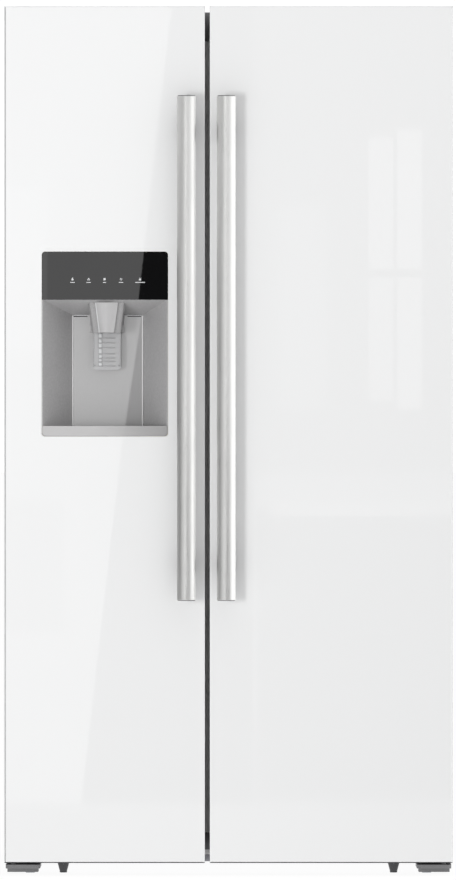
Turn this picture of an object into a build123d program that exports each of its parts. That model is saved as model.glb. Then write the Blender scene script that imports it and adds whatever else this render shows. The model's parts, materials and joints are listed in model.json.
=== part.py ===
from build123d import *
import os

os.makedirs("parts", exist_ok=True)

# Side by side refrigerator, in millimetres.
# X runs to the viewer's right, Y to the back, Z up; the origin is on the floor under the middle.

# ---------------------------------------------------------------- overall and cabinet
HALF_WIDTH = 455.0
HANDLE_FRONT = -362.0
SPACER_REAR = 362.0
CAB_FRONT = -236.0
CAB_REAR = 346.0
CAB_BOTTOM = 24.0
CAB_TOP = 1759.0
SHEET = 1.0
BASE_SHEET = 2.0
BASE_LIP_TOP = 38.0
INNER_X = HALF_WIDTH - SHEET
FRAME_REAR = CAB_FRONT + SHEET

# Compartments, measured to the liners' inner faces
LINER = 1.5
FREEZER_X = (-402.5, -75.0)
FRIDGE_X = (-11.0, 402.5)
FLOOR_Z = 84.0
CEILING_Z = 1712.0
STEP_Y = 80.0
STEP_Z = 310.0
BACK_Y = 290.0

# Machine compartment at the lower back
MACHINE_Y = 130.0
MACHINE_Z = 262.0
COVER_SHEET = 2.0
COVER_SLOT = (28.0, 8.0)
COVER_SLOT_FIRST = 60.0
COVER_SLOT_PITCH = (40.0, 26.0)
COVER_COLUMNS = 8
COVER_ROWS = 6
SPACER_X = 420.0
SPACER_Z = 225.0
SPACER_R = 16.0

# Compressor, on four rubber mounts
CAN_X = 250.0
CAN_Y = 240.0
CAN_R = 78.0
CAN_LIFT = 40.0
CAN_HEIGHT = 120.0
CAN_ROUNDING = 30.0
NECK_R = 45.0
NECK_TOP = 52.0
CARRIER = (105.0, 55.0)
CARRIER_Z = (22.0, 26.0)
MOUNT_SPREAD = (90.0, 42.0)
MOUNT_R = 9.0
TERMINAL_X = (-100.0, -70.0)
TERMINAL_HALF = 26.0
TERMINAL_Z = (70.0, 130.0)

# ---------------------------------------------------------------- doors
DOOR_FRONT = -314.0
DOOR_REAR = -248.0
DOOR_BOTTOM = 26.0
DOOR_TOP = 1766.0
GLASS = 4.0
EDGE = 1.6
GLASS_GAP = 0.4
LINER_PLATE = 2.0
CAP = 20.0
CAP_BODY_TOP = 1756.0
CAP_LIP_REAR = -308.5
LEFT_DOOR = (-455.0, -48.0)
RIGHT_DOOR = (455.0, -38.0)
SKIN_FRONT = DOOR_FRONT + GLASS_GAP
GLASS_REAR = DOOR_FRONT + GLASS
SHEET_REAR = GLASS_REAR + SHEET
PLATE_FRONT = DOOR_REAR - LINER_PLATE
SKIN_BOTTOM = DOOR_BOTTOM + CAP
SKIN_TOP = CAP_BODY_TOP - CAP
GLASS_EDGE = EDGE + GLASS_GAP

# Hinges: vertical axes near each outer edge
HINGE_X = 437.0
HINGE_Y = -290.0
PIN_R = 5.0
RUNNING = 0.05
BRACKET = 3.0
COVER_TOP = 1765.8
COVER_WALL = 2.0
COVER_GAP = 0.2
PIN_DEPTH = 18.0
EYE_R = 12.0
ARM_REACH = 84.0
ARM_LEAN = 0.5
ARM_RISE = 0.866
TOP_PLATE_X = (20.0, 104.0)
TOP_PLATE_Y = (3.0, 80.0)
LOW_PLATE_X = (383.0, 453.0)
LOW_PLATE_Z = (14.0, 22.0)
LOW_PLATE_FRONT = 16.0
LOW_PLATE_REAR = 14.0
FORK_X = (388.0, 451.0)
FORK_FRONT = 26.0
FORK_BOTTOM = 4.0
PLATE_ROUNDING = 8.0

# Gaskets
GASKET_REAR = CAB_FRONT - 0.3
GASKET_OUTER_X = 435.0
GASKET_MARGIN = 3.0
GASKET_WIDTH = 22.0

# Ridges on the door liners that carry the bins
RIDGE = 22.0
RIDGE_REAR = -173.0
RIDGE_WALL = 2.0
RIDGE_OUTER_X = 398.0
FREEZER_RIDGE_FREE = -101.0
FRIDGE_RIDGE_FREE = 15.0
RIDGE_LOW = (540.0, 870.0)
RIDGE_HIGH = (1510.0, 1690.0)
BULGE_Z = (870.0, 1300.0)
BULGE_REAR = -170.0
BIN_REAR = -160.0
BIN_HEIGHT = 95.0
BIN_WALL = 2.5
FREEZER_BIN_Z = (550.0, 715.0, 1520.0)
FRIDGE_BIN_Z = (560.0, 790.0, 1020.0, 1250.0, 1480.0)

# Handles
HANDLE_WIDTH = 38.0
HANDLE_DEPTH = 16.0
HANDLE_SIDE = 6.0
HANDLE_Z = (560.8, 1581.4)
HANDLE_X = (-85.3, -4.6)
POST_W = 20.0
POST_H = 34.0
POST_INSET = 70.0
POST_ROUNDING = 6.0

# ---------------------------------------------------------------- dispenser
DISP_X = (-379.0, -123.0)
DISP_Z = (892.6, 1267.3)
DISP_CORNER = 7.0
PANEL_Z = 1169.8
PANEL_THICK = 3.0
NICHE_FLOOR = 895.6
NICHE_BACK_X = (-320.0, -174.0)
NICHE_BACK_Z = 1141.0
NICHE_BACK_Y = -230.0
WALL = 3.0
RIM = 2.0
CONTROL_REAR = -290.0
LIP_REAR = -309.6
LIP_TOP = 913.5
SPOUT_X = -248.0
SPOUT_Z = (1103.0, 1168.0)
SPOUT_TOP = (76.0, 52.0, -272.0)
SPOUT_LOW = (59.0, 38.0, -277.0)
CHUTE_W = 56.0
CHUTE_D = 44.0
CHUTE_LOW = (-268.0, 1141.0)
CHUTE_HIGH = (-200.0, 1300.0)
CHUTE_WALL = 2.0
PADDLE_W = 57.0
PADDLE_Y = (-252.0, -248.0)
PADDLE_Z = (1028.0, 1116.0)
PADDLE_PIVOT = (-250.0, 1112.0)
PADDLE_PIN = 2.0
PADDLE_RIBS = (1034.0, 1043.0, 1050.0, 1059.0, 1071.0, 1081.0)
FLAP_PIVOT = (-257.0, 1140.0)
FLAP_PIN = 1.5
FLAP_W = 50.0
FLAP_LENGTH = 35.0

# ---------------------------------------------------------------- inside
SHELF = 5.0
SHELF_FRONT = -150.0
RUNNER = 8.0
FREEZER_SHELF_Z = (530.0, 920.0, 1318.0)
FRIDGE_SHELF_Z = (512.0, 790.0, 1060.0, 1340.0)
FREEZER_BACK = 213.0
FRIDGE_BACK = 258.0
DRAWERS = ((92.0, 298.0, 74.0), (320.0, 500.0, 205.0))
DRAWER_WALL = 2.5
DRAWER_SIDE_GAP = 13.0
DRAWER_FLANGE = 6.0
FLANGE_THICK = 4.0
SLIDE_GAP = 0.4
PULL_HALF = 70.0
PULL_DEPTH = 7.0
PULL_Z = (34.0, 14.0)

# Evaporator: two end plates, fins and ten tubes
COIL_INSET = 30.0
COIL_Y = (226.0, 284.0)
COIL_Z = (580.0, 860.0)
COIL_END = 2.0
COIL_TUBE_R = 4.0
COIL_FIRST = (240.0, 608.0)
COIL_PITCH = (30.0, 56.0)
COIL_COLUMNS = 2
COIL_ROWS = 5
FIN_HALF = 0.4
FIN_COUNT = 24

# Panel in front of the evaporator
PANEL_LOW = 526.0
PANEL_SHEET = 3.0
VENT_HALF = 15.0
VENT_HEIGHT = 12.0
VENT_FIRST_Z = 700.0
VENT_PITCH = (44.0, 390.0)
VENT_ROWS = 3

# Air duct
DUCT_X = (136.0, 256.0)
DUCT_GAP = 4.0
DUCT_ROUNDING = 8.0
DUCT_VENT_X = (160.0, 232.0)
DUCT_VENT_Z = (640.0, 900.0, 1170.0, 1440.0, 1640.0)
DUCT_VENT = 10.0

# Ceiling lamps
LAMP_HALF = 60.0
LAMP_Y = (-90.0, -40.0)
LAMP_DEPTH = 10.0

# Ice maker
MAKER_X = (-366.0, -150.0)
MAKER_Y = (-60.0, 150.0)
MAKER_Z = (1500.0, 1578.0)
MAKER_SIDE = 10.0
CELL_Y = (-50.0, 100.0)
CELL_FLOOR = 1520.0
CELL_TOP = 1560.0
CELL_PITCH = 25.0
CELL_RIBS = 5
ARM_Y = (-20.0, 110.0)
ARM_Z = (1530.0, 1570.0)

# Ice bin
TUB_X = (-372.0, -106.0)
TUB_BACK = 200.0
TUB_TOP = 1480.0
TUB_WALL = 3.0
NOSE_X = (-310.0, -186.0)
NOSE_FRONT = -225.0
NOSE_LIFT = 12.0
NOSE_TOP = 1440.0
SLEEVE_X = (-282.0, -214.0)
SLEEVE_Y = (-224.0, -176.0)
SLEEVE_LOW = 1306.0
SLEEVE_WALL = 4.0

# ---------------------------------------------------------------- running gear
ROLLER_R = 11.0
ROLLER_W = 20.0
ROLLER_X = 405.0
AXLE_R = 3.0
FRONT_ROLLER = (-232.0, 11.6)
REAR_ROLLER = (290.0, 11.0)
FOOT_X = 338.0
FOOT_Y = -215.0
FOOT_H = 20.0
FOOT_PAD = 3.0
FOOT_LOW_R = 7.5
FOOT_TOP_R = 12.0
STUD_R = 4.0
STUD_TOP = 42.0
ROLLER_EDGE = 1.5
FORK_GAP = 0.5
EAR = 3.0
EAR_HALF = 8.0
EAR_BOTTOM = 6.0
YOKE_TOP = 22.5
YOKE_HALF = 14.0

# Water inlet, a G3/4 male thread
INLET_X = -300.0
INLET_Z = 200.0
INLET_R = 13.22
COLLAR_R = 16.0
COLLAR_END = CAB_REAR + 1.0
VALVE_HALF = 26.0
VALVE_DEPTH = 30.0
SOLENOID_R = 14.0
SOLENOID = 40.0

# Mains cord gland
GLAND_X = -200.0
GLAND_Z = 90.0
GLAND_R = 11.0
GLAND_HOLE = 4.5
GLAND_INSIDE = 10.0
GLAND_NUT = 4.0
GLAND_OUTSIDE = 6.0
GLAND_LIP = 3.0

# Cylinders and cones stand on their lower face
ON_BASE = (Align.CENTER, Align.CENTER, Align.MIN)


def block(x, y, z):
    """Box spanning three (low, high) pairs, given in either order."""
    spans = [sorted(pair) for pair in (x, y, z)]
    size = [high - low for low, high in spans]
    low = [span[0] for span in spans]
    return Pos(*low) * Box(*size, align=(Align.MIN, Align.MIN, Align.MIN))


def side_prism(points, x):
    """Profile of (y, z) points, extruded along X."""
    low, high = sorted(x)
    return extrude(Plane.YZ.offset(low) * Polygon(*points, align=None), high - low, dir=(1, 0, 0))


def top_prism(points, z):
    """Profile of (x, y) points, extruded along Z."""
    return extrude(Plane.XY.offset(z[0]) * Polygon(*points, align=None), z[1] - z[0], dir=(0, 0, 1))


def rod_x(x, y, z, r):
    low, high = sorted(x)
    return Pos(low, y, z) * Rot(0, 90, 0) * Cylinder(r, high - low, align=ON_BASE)


def rod_y(x, y, z, r):
    low, high = sorted(y)
    return Pos(x, low, z) * Rot(-90, 0, 0) * Cylinder(r, high - low, align=ON_BASE)


def rod_z(x, y, z, r):
    low, high = sorted(z)
    return Pos(x, y, low) * Cylinder(r, high - low, align=ON_BASE)


def front_plate(x, z, y, radius):
    """Upright plate with rounded corners, facing the front."""
    low, high = sorted(y)
    face = RectangleRounded(x[1] - x[0], z[1] - z[0], radius)
    plane = Plane(origin=((x[0] + x[1]) / 2, low, (z[0] + z[1]) / 2), x_dir=(1, 0, 0), z_dir=(0, 1, 0))
    return extrude(plane * face, high - low)


def taper_y(front, rear):
    """Solid between two upright rectangles, each (x pair, z pair, y)."""
    faces = []
    for x, z, y in (front, rear):
        plane = Plane(origin=((x[0] + x[1]) / 2, y, (z[0] + z[1]) / 2), x_dir=(1, 0, 0), z_dir=(0, 1, 0))
        faces.append(plane * Rectangle(x[1] - x[0], z[1] - z[0]))
    return loft(faces, ruled=True)


def taper_z(low, high, grow=0.0, radius=6.0):
    """Solid between two level rectangles, each (centre x, centre y, width, depth, z)."""
    faces = []
    for x, y, width, depth, z in (low, high):
        face = RectangleRounded(width + 2 * grow, depth + 2 * grow, radius + grow)
        faces.append(Pos(x, y, z) * face)
    return loft(faces, ruled=True)


def around(x, margin):
    return (x[0] - margin, x[1] + margin)


# ---------------------------------------------------------------- cabinet body
def cabinet_shell():
    outer = block((-HALF_WIDTH, HALF_WIDTH), (CAB_FRONT, CAB_REAR), (CAB_BOTTOM, CAB_TOP))
    inner = block((-INNER_X, INNER_X), (CAB_FRONT, CAB_REAR), (CAB_BOTTOM, CAB_TOP - SHEET))
    return outer - inner


def rear_panel():
    low = MACHINE_Z + BASE_SHEET
    panel = block((-INNER_X, INNER_X), (CAB_REAR - SHEET, CAB_REAR), (low, CAB_TOP - SHEET))
    return panel


def base_plate():
    top = MACHINE_Z + BASE_SHEET
    wall = MACHINE_Y - BASE_SHEET
    rear = CAB_REAR - COVER_SHEET
    floor = block((-INNER_X, INNER_X), (FRAME_REAR, rear), (CAB_BOTTOM, CAB_BOTTOM + BASE_SHEET))
    lip = block((-INNER_X, INNER_X), (CAB_FRONT, FRAME_REAR), (CAB_BOTTOM, BASE_LIP_TOP))
    riser = block((-INNER_X, INNER_X), (wall, MACHINE_Y), (CAB_BOTTOM, top))
    roof = block((-INNER_X, INNER_X), (wall, CAB_REAR - SHEET), (MACHINE_Z, top))
    plate = floor + lip + riser + roof
    for side in (-1, 1):
        plate -= rod_z(side * FOOT_X, FOOT_Y, (CAB_BOTTOM, CAB_BOTTOM + BASE_SHEET), STUD_R + RUNNING)
    return plate


def front_frame():
    frame = block((-INNER_X, INNER_X), (CAB_FRONT, FRAME_REAR), (BASE_LIP_TOP, CAB_TOP - SHEET))
    for x in (FREEZER_X, FRIDGE_X):
        frame -= block(x, (CAB_FRONT, FRAME_REAR), (FLOOR_Z, CEILING_Z))
    return frame


def compartment(x, grow):
    """Stepped inside volume of one compartment, grown outwards by a wall thickness."""
    points = (
        (FRAME_REAR, FLOOR_Z - grow),
        (STEP_Y + grow, FLOOR_Z - grow),
        (STEP_Y + grow, STEP_Z - grow),
        (BACK_Y + grow, STEP_Z - grow),
        (BACK_Y + grow, CEILING_Z + grow),
        (FRAME_REAR, CEILING_Z + grow),
    )
    return side_prism(points, around(x, grow))


def cabinet_insulation():
    floor = CAB_BOTTOM + BASE_SHEET
    foam = block((-INNER_X, INNER_X), (FRAME_REAR, CAB_REAR - SHEET), (floor, CAB_TOP - SHEET))
    foam -= block(
        (-INNER_X, INNER_X), (MACHINE_Y - BASE_SHEET, CAB_REAR), (CAB_BOTTOM, MACHINE_Z + BASE_SHEET)
    )
    for x in (FREEZER_X, FRIDGE_X):
        foam -= compartment(x, LINER)
    for side in (-1, 1):
        foam -= rod_z(side * FOOT_X, FOOT_Y, (floor, STUD_TOP + 2), STUD_R + 3)
    return foam


def liner(x):
    return compartment(x, LINER) - compartment(x, 0.0)


def machine_cover():
    floor = CAB_BOTTOM + BASE_SHEET
    cover = block((-INNER_X, INNER_X), (CAB_REAR - COVER_SHEET, CAB_REAR), (floor, MACHINE_Z))
    cover += block((-INNER_X, INNER_X), (CAB_REAR - SHEET, CAB_REAR), (MACHINE_Z, MACHINE_Z + BASE_SHEET))
    for column in range(COVER_COLUMNS):
        for row in range(COVER_ROWS):
            x = COVER_SLOT_FIRST + column * COVER_SLOT_PITCH[0]
            z = COVER_SLOT_FIRST + row * COVER_SLOT_PITCH[1]
            slot_x = (x, x + COVER_SLOT[0])
            cover -= block(slot_x, (CAB_REAR - COVER_SHEET, CAB_REAR), (z, z + COVER_SLOT[1]))
    cover -= rod_y(INLET_X, (CAB_REAR - COVER_SHEET, CAB_REAR), INLET_Z, COLLAR_R)
    cover -= rod_y(GLAND_X, (CAB_REAR - COVER_SHEET, CAB_REAR), GLAND_Z, GLAND_R)
    for side in (-1, 1):
        cover += rod_y(side * SPACER_X, (CAB_REAR, SPACER_REAR), SPACER_Z, SPACER_R)
    return cover


def water_valve():
    rear = CAB_REAR - COVER_SHEET
    x = (INLET_X - VALVE_HALF, INLET_X + VALVE_HALF)
    z = (INLET_Z - VALVE_HALF, INLET_Z + VALVE_HALF)
    body = block(x, (rear - VALVE_DEPTH, rear), z)
    coil = rod_z(INLET_X, rear - VALVE_DEPTH / 2, (z[0] - SOLENOID, z[0]), SOLENOID_R)
    collar = rod_y(INLET_X, (rear, COLLAR_END), INLET_Z, COLLAR_R)
    thread = rod_y(INLET_X, (COLLAR_END, SPACER_REAR), INLET_Z, INLET_R)
    return body + coil + collar + thread


def cord_gland():
    rear = CAB_REAR - COVER_SHEET
    inside = rear - GLAND_INSIDE
    outside = CAB_REAR + GLAND_OUTSIDE
    nut = rod_y(GLAND_X, (inside, rear), GLAND_Z, GLAND_R + GLAND_NUT)
    neck = rod_y(GLAND_X, (rear, CAB_REAR), GLAND_Z, GLAND_R)
    lip = rod_y(GLAND_X, (CAB_REAR, outside), GLAND_Z, GLAND_R + GLAND_LIP)
    return nut + neck + lip - rod_y(GLAND_X, (inside, outside), GLAND_Z, GLAND_HOLE)


def compressor():
    floor = CAB_BOTTOM + BASE_SHEET
    can = Pos(CAN_X, CAN_Y, floor + CAN_LIFT) * Cylinder(CAN_R, CAN_HEIGHT, align=ON_BASE)
    can = fillet(can.edges().filter_by(GeomType.CIRCLE), CAN_ROUNDING)
    low, high = CARRIER_Z
    x = (CAN_X - CARRIER[0], CAN_X + CARRIER[0])
    y = (CAN_Y - CARRIER[1], CAN_Y + CARRIER[1])
    body = can + block(x, y, (floor + low, floor + high))
    body += rod_z(CAN_X, CAN_Y, (floor + high, floor + NECK_TOP), NECK_R)
    for dx in (-MOUNT_SPREAD[0], MOUNT_SPREAD[0]):
        for dy in (-MOUNT_SPREAD[1], MOUNT_SPREAD[1]):
            body += rod_z(CAN_X + dx, CAN_Y + dy, (floor, floor + low), MOUNT_R)
    x = (CAN_X + TERMINAL_X[0], CAN_X + TERMINAL_X[1])
    y = (CAN_Y - TERMINAL_HALF, CAN_Y + TERMINAL_HALF)
    return body + block(x, y, (floor + TERMINAL_Z[0], floor + TERMINAL_Z[1]))


# ---------------------------------------------------------------- hinges and running gear
def bracket_outline(side, grow, z):
    """Flat top bracket: an eye round the pin, an angled arm and a plate on the cabinet."""
    eye = rod_z(side * -HINGE_X, HINGE_Y, z, EYE_R + grow)
    reach = ARM_REACH + grow
    half = EYE_R + grow
    across = (ARM_RISE * half, -ARM_LEAN * half)
    along = (ARM_LEAN * reach, ARM_RISE * reach)
    arm = [(-across[0], -across[1]), across]
    arm += [(across[0] + along[0], across[1] + along[1])]
    arm += [(along[0] - across[0], along[1] - across[1])]
    points = [(side * (px - HINGE_X), HINGE_Y + py) for px, py in arm]
    plate_x = [side * (edge - HINGE_X) for edge in around(TOP_PLATE_X, grow)]
    plate_y = [CAB_FRONT + edge for edge in around(TOP_PLATE_Y, grow)]
    return eye + top_prism(points, z) + block(plate_x, plate_y, z)


def hinge_bracket_top(side):
    flat = bracket_outline(side, 0.0, (CAB_TOP, CAB_TOP + BRACKET))
    return flat + rod_z(side * -HINGE_X, HINGE_Y, (CAP_BODY_TOP - PIN_DEPTH, CAB_TOP), PIN_R)


def hinge_cover(side):
    outer = bracket_outline(side, COVER_WALL, (CAB_TOP, COVER_TOP))
    return outer - bracket_outline(side, COVER_GAP, (CAB_TOP, CAB_TOP + BRACKET + COVER_GAP))


def hinge_bracket_low(side):
    """Bottom bracket with its upward pin, and the fork that holds a front roller."""
    y, z = FRONT_ROLLER
    rear = y + LOW_PLATE_REAR
    x = [side * edge for edge in LOW_PLATE_X]
    plate = block(x, (HINGE_Y - LOW_PLATE_FRONT, rear), LOW_PLATE_Z)
    plate = fillet(plate.edges().filter_by(Axis.Z).group_by(Axis.Y)[0], PLATE_ROUNDING)
    fork_x = [side * edge for edge in FORK_X]
    fork = block(fork_x, (CAB_FRONT - FORK_FRONT, rear), (FORK_BOTTOM, LOW_PLATE_Z[0]))
    pad = block(x, (FRAME_REAR, rear), (LOW_PLATE_Z[1], CAB_BOTTOM))
    inside = ROLLER_W / 2 + FORK_GAP
    slot_x = (side * (ROLLER_X - inside), side * (ROLLER_X + inside))
    slot = block(slot_x, (y - ROLLER_R - 1, y + ROLLER_R + 1), (0, CAB_BOTTOM))
    pin = rod_z(side * HINGE_X, HINGE_Y, (LOW_PLATE_Z[1], DOOR_BOTTOM + PIN_DEPTH - 4), PIN_R)
    edge = inside + FORK_GAP
    axle = rod_x((side * (ROLLER_X - edge), side * (ROLLER_X + edge)), y, z, AXLE_R)
    return plate + fork + pad - slot + pin + axle


def hinge_brackets():
    return [hinge_bracket_top(1), hinge_bracket_top(-1), hinge_bracket_low(-1), hinge_bracket_low(1)]


def hinge_covers():
    return [hinge_cover(1), hinge_cover(-1)]


def roller(side, centre):
    y, z = centre
    half = ROLLER_W / 2
    wheel = rod_x((side * (ROLLER_X - half), side * (ROLLER_X + half)), y, z, ROLLER_R)
    wheel = chamfer(wheel.edges().filter_by(GeomType.CIRCLE), ROLLER_EDGE)
    return wheel - rod_x((side * (ROLLER_X - half), side * (ROLLER_X + half)), y, z, AXLE_R + RUNNING)


def rear_roller_bracket(side):
    y, z = REAR_ROLLER
    inside = ROLLER_W / 2 + FORK_GAP
    edge = inside + EAR
    top_x = (side * (ROLLER_X - edge), side * (ROLLER_X + edge))
    bracket = block(top_x, (y - YOKE_HALF, y + YOKE_HALF), (YOKE_TOP, CAB_BOTTOM))
    bracket += rod_x((side * (ROLLER_X - inside - 1), side * (ROLLER_X + inside + 1)), y, z, AXLE_R)
    for step in (-1, 1):
        near = ROLLER_X + step * inside
        x = (side * near, side * (near + step * EAR))
        bracket += block(x, (y - EAR_HALF, y + EAR_HALF), (EAR_BOTTOM, YOKE_TOP))
    return bracket


def levelling_foot(side):
    x = side * FOOT_X
    pad = rod_z(x, FOOT_Y, (0, FOOT_PAD), FOOT_LOW_R)
    cone = Cone(FOOT_LOW_R, FOOT_TOP_R, FOOT_H - FOOT_PAD, align=ON_BASE)
    return pad + Pos(x, FOOT_Y, FOOT_PAD) * cone + rod_z(x, FOOT_Y, (FOOT_H, STUD_TOP), STUD_R)


# ---------------------------------------------------------------- inside the compartments
def shelf(x, z, back):
    plate = block((x[0] + 1, x[1] - 1), (SHELF_FRONT, back), (z, z + SHELF))
    return chamfer(plate.edges().filter_by(Axis.X), 0.8)


def runner_pair(x, z, back):
    bars = []
    for low in (x[0], x[1] - RUNNER):
        bars.append(block((low, low + RUNNER), (SHELF_FRONT + 10, back), (z - RUNNER, z)))
    return bars


def shelf_supports():
    bars = []
    for z in FREEZER_SHELF_Z:
        bars += runner_pair(FREEZER_X, z, FREEZER_BACK - 6)
    for z in FRIDGE_SHELF_Z:
        bars += runner_pair(FRIDGE_X, z, FRIDGE_BACK - 6)
    for low, high, back in DRAWERS:
        rest = high - FLANGE_THICK - SLIDE_GAP
        bars += runner_pair(FREEZER_X, rest, back - 10)
        bars += runner_pair(FRIDGE_X, rest, back - 10)
    return bars


def drawer(x, spec):
    low, high, back = spec
    side = (x[0] + DRAWER_SIDE_GAP, x[1] - DRAWER_SIDE_GAP)
    inner = around(side, -DRAWER_WALL)
    tub = block(side, (SHELF_FRONT, back), (low, high))
    tub += block(around(side, DRAWER_FLANGE), (SHELF_FRONT, back), (high - FLANGE_THICK, high))
    tub -= block(inner, (SHELF_FRONT + 4 * DRAWER_WALL, back - DRAWER_WALL), (low + DRAWER_WALL, high))
    middle = (x[0] + x[1]) / 2
    pull_z = (high - PULL_Z[0], high - PULL_Z[1])
    pull_y = (SHELF_FRONT, SHELF_FRONT + PULL_DEPTH)
    return tub - block((middle - PULL_HALF, middle + PULL_HALF), pull_y, pull_z)


def evaporator():
    x = around(FREEZER_X, -COIL_INSET)
    coil = block((x[0], x[0] + COIL_END), COIL_Y, COIL_Z) + block((x[1] - COIL_END, x[1]), COIL_Y, COIL_Z)
    for column in range(COIL_COLUMNS):
        for row in range(COIL_ROWS):
            y = COIL_FIRST[0] + column * COIL_PITCH[0]
            coil += rod_x(x, y, COIL_FIRST[1] + row * COIL_PITCH[1], COIL_TUBE_R)
    for fin in range(1, FIN_COUNT):
        at = x[0] + fin * (x[1] - x[0]) / FIN_COUNT
        coil += block((at - FIN_HALF, at + FIN_HALF), COIL_Y, COIL_Z)
    return coil


def evaporator_cover():
    low = FREEZER_BACK + 2
    y = (low, low + PANEL_SHEET)
    panel = block(FREEZER_X, y, (PANEL_LOW, CEILING_Z))
    panel += block(FREEZER_X, (low, BACK_Y), (PANEL_LOW, PANEL_LOW + PANEL_SHEET))
    middle = (FREEZER_X[0] + FREEZER_X[1]) / 2
    for row in range(VENT_ROWS):
        for column in range(-2, 3):
            x = middle + column * VENT_PITCH[0]
            z = VENT_FIRST_Z + row * VENT_PITCH[1]
            panel -= block((x - VENT_HALF, x + VENT_HALF), y, (z, z + VENT_HEIGHT))
    return panel


def air_duct():
    front = FRIDGE_BACK + DUCT_GAP
    duct = block(DUCT_X, (front, BACK_Y), (PANEL_LOW, CEILING_Z))
    duct = fillet(duct.edges().filter_by(Axis.Z).group_by(Axis.Y)[0], DUCT_ROUNDING)
    for z in DUCT_VENT_Z:
        duct -= block(DUCT_VENT_X, (front, front + DUCT_VENT), (z, z + DUCT_VENT))
    return duct


def interior_lamps():
    lamps = []
    for x in (FREEZER_X, FRIDGE_X):
        middle = (x[0] + x[1]) / 2
        lamp_x = (middle - LAMP_HALF, middle + LAMP_HALF)
        lamps.append(block(lamp_x, LAMP_Y, (CEILING_Z - LAMP_DEPTH, CEILING_Z)))
    return lamps


def ice_maker():
    cell_x = around(MAKER_X, -MAKER_SIDE)
    tray = block(MAKER_X, MAKER_Y, MAKER_Z) - block(cell_x, CELL_Y, (CELL_FLOOR, MAKER_Z[1]))
    for rib in range(1, CELL_RIBS + 1):
        y = CELL_Y[0] + rib * CELL_PITCH
        tray += block(cell_x, (y - 1, y + 1), (CELL_FLOOR, CELL_TOP))
    return tray + block((FREEZER_X[0], MAKER_X[0]), ARM_Y, ARM_Z)


def ice_bin():
    floor = FREEZER_SHELF_Z[2] + SHELF + SLIDE_GAP
    front = SHELF_FRONT + 2
    wall = TUB_WALL
    low = floor + NOSE_LIFT
    body = block(TUB_X, (front, TUB_BACK), (floor, TUB_TOP))
    body += block(NOSE_X, (NOSE_FRONT, front), (low, NOSE_TOP))
    body += block(SLEEVE_X, SLEEVE_Y, (SLEEVE_LOW, low))
    body -= block(around(TUB_X, -wall), (front + wall, TUB_BACK - wall), (floor + wall, TUB_TOP))
    body -= block(around(NOSE_X, -wall), (NOSE_FRONT + wall, front + wall), (low + wall, NOSE_TOP))
    outlet_x = around(SLEEVE_X, -SLEEVE_WALL)
    return body - block(outlet_x, around(SLEEVE_Y, -SLEEVE_WALL), (SLEEVE_LOW, low + SLEEVE_WALL))


# ---------------------------------------------------------------- parts shared by both doors
def inset(door, amount):
    """Door width pair, (hinge edge, free edge), drawn in by an amount on both sides."""
    step = amount if door[0] < door[1] else -amount
    return (door[0] + step, door[1] - step)


def door_glass(door):
    x = sorted(inset(door, GLASS_EDGE))
    z = (DOOR_BOTTOM + GLASS_EDGE, DOOR_TOP - GLASS_EDGE)
    pane = block(x, (DOOR_FRONT, GLASS_REAR), z)
    return chamfer(pane.faces().sort_by(Axis.Y)[0].edges(), 0.6)


def door_skin(door):
    z = (SKIN_BOTTOM, SKIN_TOP)
    skin = block(door, (SKIN_FRONT, PLATE_FRONT), z)
    skin -= block(inset(door, EDGE), (SKIN_FRONT, GLASS_REAR), z)
    return skin - block(inset(door, EDGE), (SHEET_REAR, PLATE_FRONT), z)


def door_cap_low(door):
    cap = block(door, (SKIN_FRONT, PLATE_FRONT), (DOOR_BOTTOM, SKIN_BOTTOM))
    cap -= block(inset(door, EDGE), (SKIN_FRONT, GLASS_REAR), (DOOR_BOTTOM + EDGE, SKIN_BOTTOM))
    x = HINGE_X if door[0] > 0 else -HINGE_X
    return cap - rod_z(x, HINGE_Y, (DOOR_BOTTOM, DOOR_BOTTOM + PIN_DEPTH - 2), PIN_R + RUNNING)


def door_cap_top(door):
    cap = block(door, (SKIN_FRONT, PLATE_FRONT), (SKIN_TOP, DOOR_TOP))
    cap -= block(inset(door, EDGE), (SKIN_FRONT, GLASS_REAR), (SKIN_TOP, DOOR_TOP - EDGE))
    cap -= block(door, (CAP_LIP_REAR, PLATE_FRONT), (CAP_BODY_TOP, DOOR_TOP))
    x = HINGE_X if door[0] > 0 else -HINGE_X
    return cap - rod_z(x, HINGE_Y, (CAP_BODY_TOP - PIN_DEPTH - 1, CAP_BODY_TOP), PIN_R + RUNNING)


def door_end_caps(door):
    return [door_cap_low(door), door_cap_top(door)]


def ridge_spans(door):
    """X pairs of the two upright ridges, hinge side then free side."""
    if door[0] < 0:
        hinge = (-RIDGE_OUTER_X, -RIDGE_OUTER_X + RIDGE)
        return hinge, (FREEZER_RIDGE_FREE - RIDGE, FREEZER_RIDGE_FREE)
    hinge = (RIDGE_OUTER_X - RIDGE, RIDGE_OUTER_X)
    return hinge, (FRIDGE_RIDGE_FREE, FRIDGE_RIDGE_FREE + RIDGE)


def door_back_forms(door, wall):
    """Raised forms on the back of a door, reduced by a wall thickness for their cores."""
    front = DOOR_REAR if wall == 0 else PLATE_FRONT
    forms = []
    spans = [RIDGE_LOW, RIDGE_HIGH] if door[0] < 0 else [(RIDGE_LOW[0], RIDGE_HIGH[1])]
    for x in ridge_spans(door):
        for z in spans:
            forms.append(block(around(x, -wall), (front, RIDGE_REAR - wall), around(z, -wall)))
    if door[0] < 0:
        x = (-RIDGE_OUTER_X, FREEZER_RIDGE_FREE)
        forms.append(block(around(x, -wall), (front, BULGE_REAR - wall), around(BULGE_Z, -wall)))
    return forms


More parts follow.
